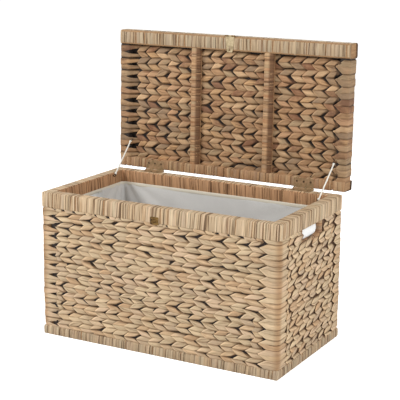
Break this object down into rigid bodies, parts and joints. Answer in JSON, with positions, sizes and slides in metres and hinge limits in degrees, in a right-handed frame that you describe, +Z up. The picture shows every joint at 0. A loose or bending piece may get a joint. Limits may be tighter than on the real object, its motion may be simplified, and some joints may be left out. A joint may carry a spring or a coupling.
{
  "type": "woven storage trunk",
  "caption": "Woven fibre storage trunk on a wrapped frame, with a hinged lid held open by cord stays, a cloth liner, end handle holes and a front latch.",
  "frame": {"origin": "middle of the underside of the base board, where the trunk stands", "axes": "+Z up, +X to the right of someone facing the catch, -Y the catch side; the lid is open at rest"},
  "size_m": [0.764, 0.4908, 0.8623],
  "materials": {
    "leaf_wrap": "flat plant-leaf strips wound over wood, straw to tan, dull",
    "weave": "twined dried plant fibre, light straw tan, dull",
    "lid_weave": "twined dried plant fibre, browner than the walls, dull",
    "board": "plain wood board",
    "cloth": "plain off-white cotton cloth",
    "cord": "white cord",
    "hinge_metal": "antiqued, greenish grey",
    "aged_brass": "dark antiqued brass",
    "dark_wire": "dark wire"
  },
  "bodies": {
    "box": {"base_board": "board", "base_rail_back": "leaf_wrap", "base_rail_front": "leaf_wrap", "base_rail_left": "leaf_wrap", "base_rail_right": "leaf_wrap", "catch_plate": "aged_brass", "catch_screw_1": "aged_brass", "catch_screw_2": "aged_brass", "catch_staple": "aged_brass", "corner_post_back_left": "weave", "corner_post_back_right": "weave", "corner_post_front_left": "weave", "corner_post_front_right": "weave", "handle_jamb_left_back": "leaf_wrap", "handle_jamb_left_front": "leaf_wrap", "handle_jamb_right_back": "leaf_wrap", "handle_jamb_right_front": "leaf_wrap", "hinge_leaf_box_left": "hinge_metal", "hinge_leaf_box_right": "hinge_metal", "hinge_pin_left": "hinge_metal", "hinge_pin_right": "hinge_metal", "hinge_screw_box_left_1": "hinge_metal", "hinge_screw_box_left_2": "hinge_metal", "hinge_screw_box_left_3": "hinge_metal", "hinge_screw_box_right_1": "hinge_metal", "hinge_screw_box_right_2": "hinge_metal", "hinge_screw_box_right_3": "hinge_metal", "liner": "cloth", "rim_back": "leaf_wrap", "rim_front": "leaf_wrap", "rim_left": "leaf_wrap", "rim_right": "leaf_wrap", "stay_eye_box_left": "dark_wire", "stay_eye_box_right": "dark_wire", "stay_left": "cord", "stay_right": "cord", "woven_wall_back": "weave", "woven_wall_front": "weave", "woven_wall_left": "weave", "woven_wall_right": "weave"},
    "lid": {"hinge_leaf_lid_left": "hinge_metal", "hinge_leaf_lid_right": "hinge_metal", "hinge_screw_lid_left_1": "hinge_metal", "hinge_screw_lid_left_2": "hinge_metal", "hinge_screw_lid_left_3": "hinge_metal", "hinge_screw_lid_right_1": "hinge_metal", "hinge_screw_lid_right_2": "hinge_metal", "hinge_screw_lid_right_3": "hinge_metal", "latch_pin": "aged_brass", "latch_plate": "aged_brass", "lid_batten_left": "leaf_wrap", "lid_batten_right": "leaf_wrap", "lid_panel": "lid_weave", "lid_rail_back": "leaf_wrap", "lid_rail_front": "leaf_wrap", "lid_rail_left": "leaf_wrap", "lid_rail_right": "leaf_wrap", "stay_eye_lid_left": "dark_wire", "stay_eye_lid_right": "dark_wire"},
    "hasp": {"latch_tongue": "aged_brass"}
  },
  "joints": [
    {"name": "lid_hinge", "type": "hinge", "parent": "box", "child": "lid", "pos_m": [0, 0.2145, 0.4289], "axis": [1, 0, 0], "range_deg": [0, 91.2], "deforming": ["stay_left", "stay_right"]},
    {"name": "hasp_hinge", "type": "hinge", "parent": "lid", "child": "hasp", "pos_m": [0, 0.22394, 0.8604], "axis": [1, 0, 0], "range_deg": [-265, 0]}
  ]
}
